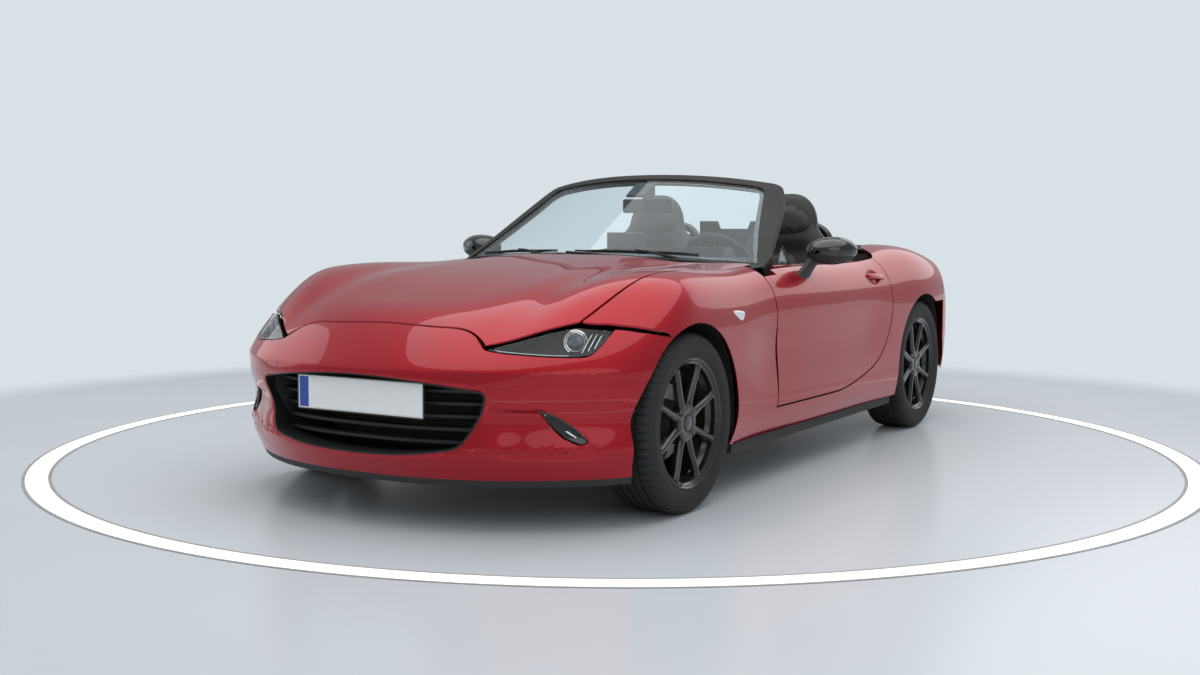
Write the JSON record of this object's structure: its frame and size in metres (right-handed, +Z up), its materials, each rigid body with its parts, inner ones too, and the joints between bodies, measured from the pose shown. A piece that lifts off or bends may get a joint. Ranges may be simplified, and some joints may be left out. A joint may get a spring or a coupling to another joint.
{
  "type": "convertible car",
  "caption": "Low two-seat open car with long bonnet, folded soft top, opening doors, bonnet and boot lid, and wheels that roll and steer.",
  "frame": {"origin": "on the floor under the middle of the length and width", "axes": "+X towards the nose, +Y to the car's left, +Z up"},
  "size_m": [3.9159, 1.9118, 1.1659],
  "materials": {
    "paint": "deep red metallic lacquer",
    "black_paint": "gloss black",
    "black_plastic": "grained black plastic",
    "pan": "dark primer and underseal",
    "steel": "bare and black-painted steel",
    "iron": "cast iron",
    "alloy": "gloss black lacquer",
    "light_alloy": "cast aluminium",
    "tyre": "rubber",
    "leather": "black leather with seams",
    "fabric": "black woven hood cloth",
    "glass": "clear, faintly green",
    "lamp": "clear lamp lens",
    "red_lamp": "red lamp lens",
    "plate": "blank white plate"
  },
  "bodies": {
    "body": {"floor_pan": "pan", "front_structure": "pan", "rear_structure": "pan", "boot_tub": "pan", "arch_liners": "black_plastic", "front_bumper": "paint", "rear_bumper": "paint", "lower_trims": "black_plastic", "rear_deck": "paint", "scuttle": "black_plastic", "windscreen_frame": "black_paint", "windscreen_glass": "glass", "headlamps": "lamp", "tail_lamps": "red_lamp", "grille": "black_plastic", "radiator": "light_alloy", "number_plate": "plate", "dashboard": "black_plastic", "centre_console": "black_plastic", "interior_mirror": "black_plastic", "roll_hoops": "black_paint", "soft_top": "fabric", "engine_block": "light_alloy", "gearbox_shaft": "steel", "exhaust": "steel", "front_suspension": "iron", "rear_suspension": "iron", "body_side_left": "paint", "front_wing_left": "paint", "seat_left": "leather", "body_side_right": "paint", "front_wing_right": "paint", "seat_right": "leather"},
    "bonnet": {"bonnet": "paint"},
    "boot_lid": {"boot_lid": "paint"},
    "steering_wheel": {"steering_wheel": "leather"},
    "door_left": {"door_left": "paint", "mirror_left": "black_paint"},
    "knuckle_left": {"knuckle_front_left": "iron"},
    "wheel_front_left": {"wheel_front_left": "alloy", "tyre_front_left": "tyre"},
    "wheel_rear_left": {"wheel_rear_left": "alloy", "tyre_rear_left": "tyre"},
    "door_right": {"door_right": "paint", "mirror_right": "black_paint"},
    "knuckle_right": {"knuckle_front_right": "iron"},
    "wheel_front_right": {"wheel_front_right": "alloy", "tyre_front_right": "tyre"},
    "wheel_rear_right": {"wheel_rear_right": "alloy", "tyre_rear_right": "tyre"}
  },
  "joints": [
    {"name": "door_left", "type": "hinge", "parent": "body", "child": "door_left", "pos_m": [0.4575, 0.8195, 0.5], "axis": [0, 0, -1], "range_deg": [0, 62]},
    {"name": "door_right", "type": "hinge", "parent": "body", "child": "door_right", "pos_m": [0.4575, -0.8195, 0.5], "axis": [0, 0, 1], "range_deg": [0, 62]},
    {"name": "bonnet", "type": "hinge", "parent": "body", "child": "bonnet", "pos_m": [0.43, 0, 0.745], "axis": [0, -1, 0], "range_deg": [0, 50]},
    {"name": "boot_lid", "type": "hinge", "parent": "body", "child": "boot_lid", "pos_m": [-1.247, 0, 0.825], "axis": [0, 1, 0], "range_deg": [0, 75]},
    {"name": "steer_left", "type": "hinge", "parent": "body", "child": "knuckle_left", "pos_m": [1.2375, 0.682, 0.3005], "axis": [0, 0, 1], "range_deg": [-33, 33]},
    {"name": "steer_right", "type": "hinge", "parent": "body", "child": "knuckle_right", "pos_m": [1.2375, -0.682, 0.3005], "axis": [0, 0, 1], "range_deg": [-33, 33]},
    {"name": "steering_wheel", "type": "hinge", "parent": "body", "child": "steering_wheel", "pos_m": [0.076, 0.345, 0.751], "axis": [-0.9272, 0, 0.3746], "range_deg": [-495, 495]},
    {"name": "spin_front_left", "type": "hinge", "parent": "knuckle_left", "child": "wheel_front_left", "pos_m": [1.2375, 0.7475, 0.3005], "axis": [0, 1, 0], "continuous": true},
    {"name": "spin_front_right", "type": "hinge", "parent": "knuckle_right", "child": "wheel_front_right", "pos_m": [1.2375, -0.7475, 0.3005], "axis": [0, 1, 0], "continuous": true},
    {"name": "spin_rear_left", "type": "hinge", "parent": "body", "child": "wheel_rear_left", "pos_m": [-1.0725, 0.7475, 0.3005], "axis": [0, 1, 0], "continuous": true},
    {"name": "spin_rear_right", "type": "hinge", "parent": "body", "child": "wheel_rear_right", "pos_m": [-1.0725, -0.7475, 0.3005], "axis": [0, 1, 0], "continuous": true}
  ],
  "couplings": [
    {"joint": "steer_right", "follows": "steer_left", "ratio": 1},
    {"joint": "steering_wheel", "follows": "steer_left", "ratio": 15}
  ]
}
